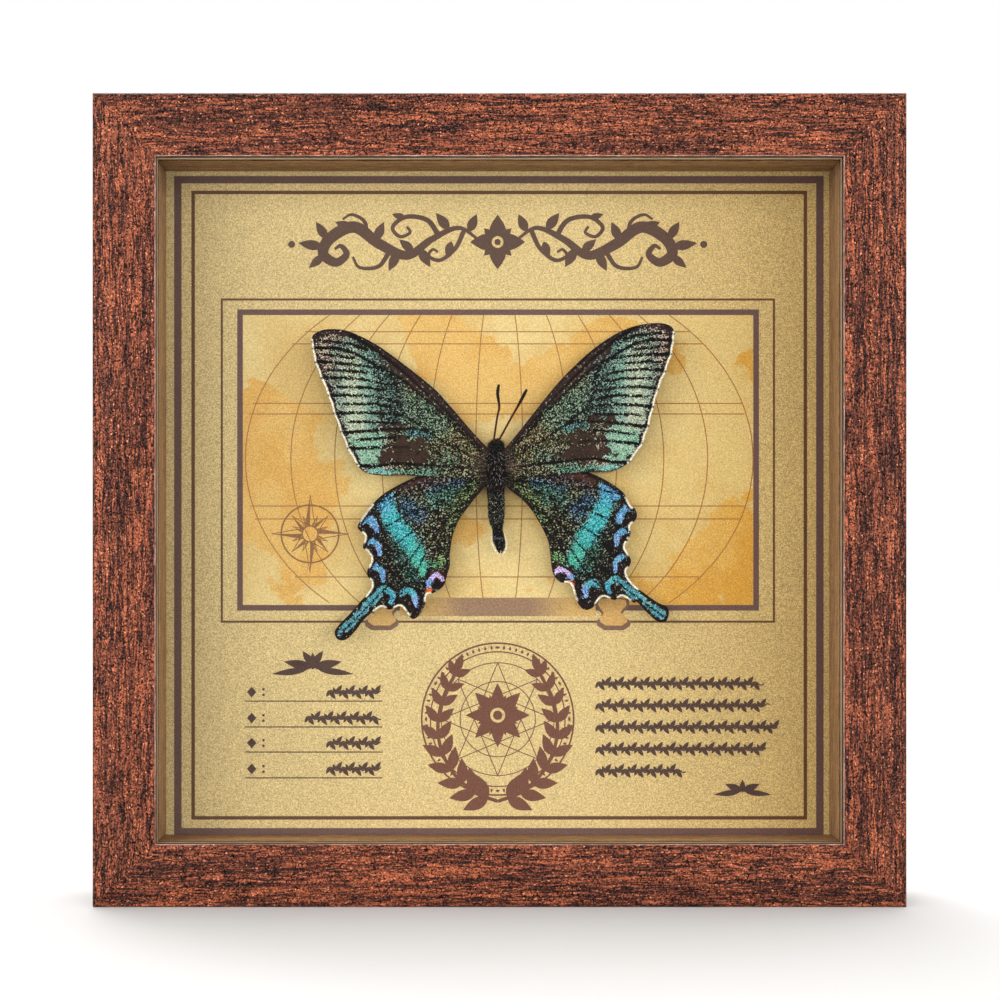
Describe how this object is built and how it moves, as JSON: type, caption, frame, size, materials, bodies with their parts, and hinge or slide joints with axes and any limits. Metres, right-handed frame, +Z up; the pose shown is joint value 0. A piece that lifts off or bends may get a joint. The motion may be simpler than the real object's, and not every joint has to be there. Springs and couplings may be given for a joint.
{
  "type": "framed butterfly specimen",
  "caption": "Square shadow-box frame with a glass front and printed card, holding a spread swallowtail butterfly clear of the card; stands on its bottom rail or hangs.",
  "frame": {"origin": "middle of the bottom face of the frame, half way between front and back", "axes": "+X to the right seen from the front, +Y from the front to the back, +Z up; the front faces -Y"},
  "size_m": [0.2, 0.03, 0.2],
  "materials": {
    "moulding": "reddish brown wood grain foil, satin",
    "tab_steel": "bright zinc plated sheet",
    "glass": "clear float glass",
    "printed_card": "matt gold card with fine sparkle and dark brown print",
    "spacer": "brown foil on wood strip, satin",
    "back_board": "raw hard fibreboard",
    "hanger_steel": "yellow passivated sheet",
    "insect_body": "black fur and scales",
    "antenna": "satin black",
    "foam": "matt white foam",
    "forewing": "black-brown dusted with green scales, pale green band",
    "hindwing": "black-brown with glossy teal band and blue lunules"
  },
  "bodies": {
    "root": {"rail_bottom": "moulding", "rail_right": "moulding", "rail_top": "moulding", "rail_left": "moulding", "tab_bottom_a": "tab_steel", "tab_bottom_b": "tab_steel", "tab_right_a": "tab_steel", "tab_right_b": "tab_steel", "tab_top_a": "tab_steel", "tab_top_b": "tab_steel", "tab_left_a": "tab_steel", "tab_left_b": "tab_steel", "glass_pane": "glass", "backing_card": "printed_card", "spacer_top": "spacer", "spacer_bottom": "spacer", "spacer_left": "spacer", "spacer_right": "spacer", "back_board": "back_board", "sawtooth_hanger": "hanger_steel", "hanger_nail_left": "hanger_steel", "hanger_nail_right": "hanger_steel", "thorax": "insect_body", "head": "insect_body", "abdomen": "insect_body", "antenna_left": "antenna", "antenna_right": "antenna", "foam_block": "foam", "forewing_left": "forewing", "forewing_right": "forewing", "hindwing_left": "hindwing", "hindwing_right": "hindwing"}
  },
  "joints": []
}
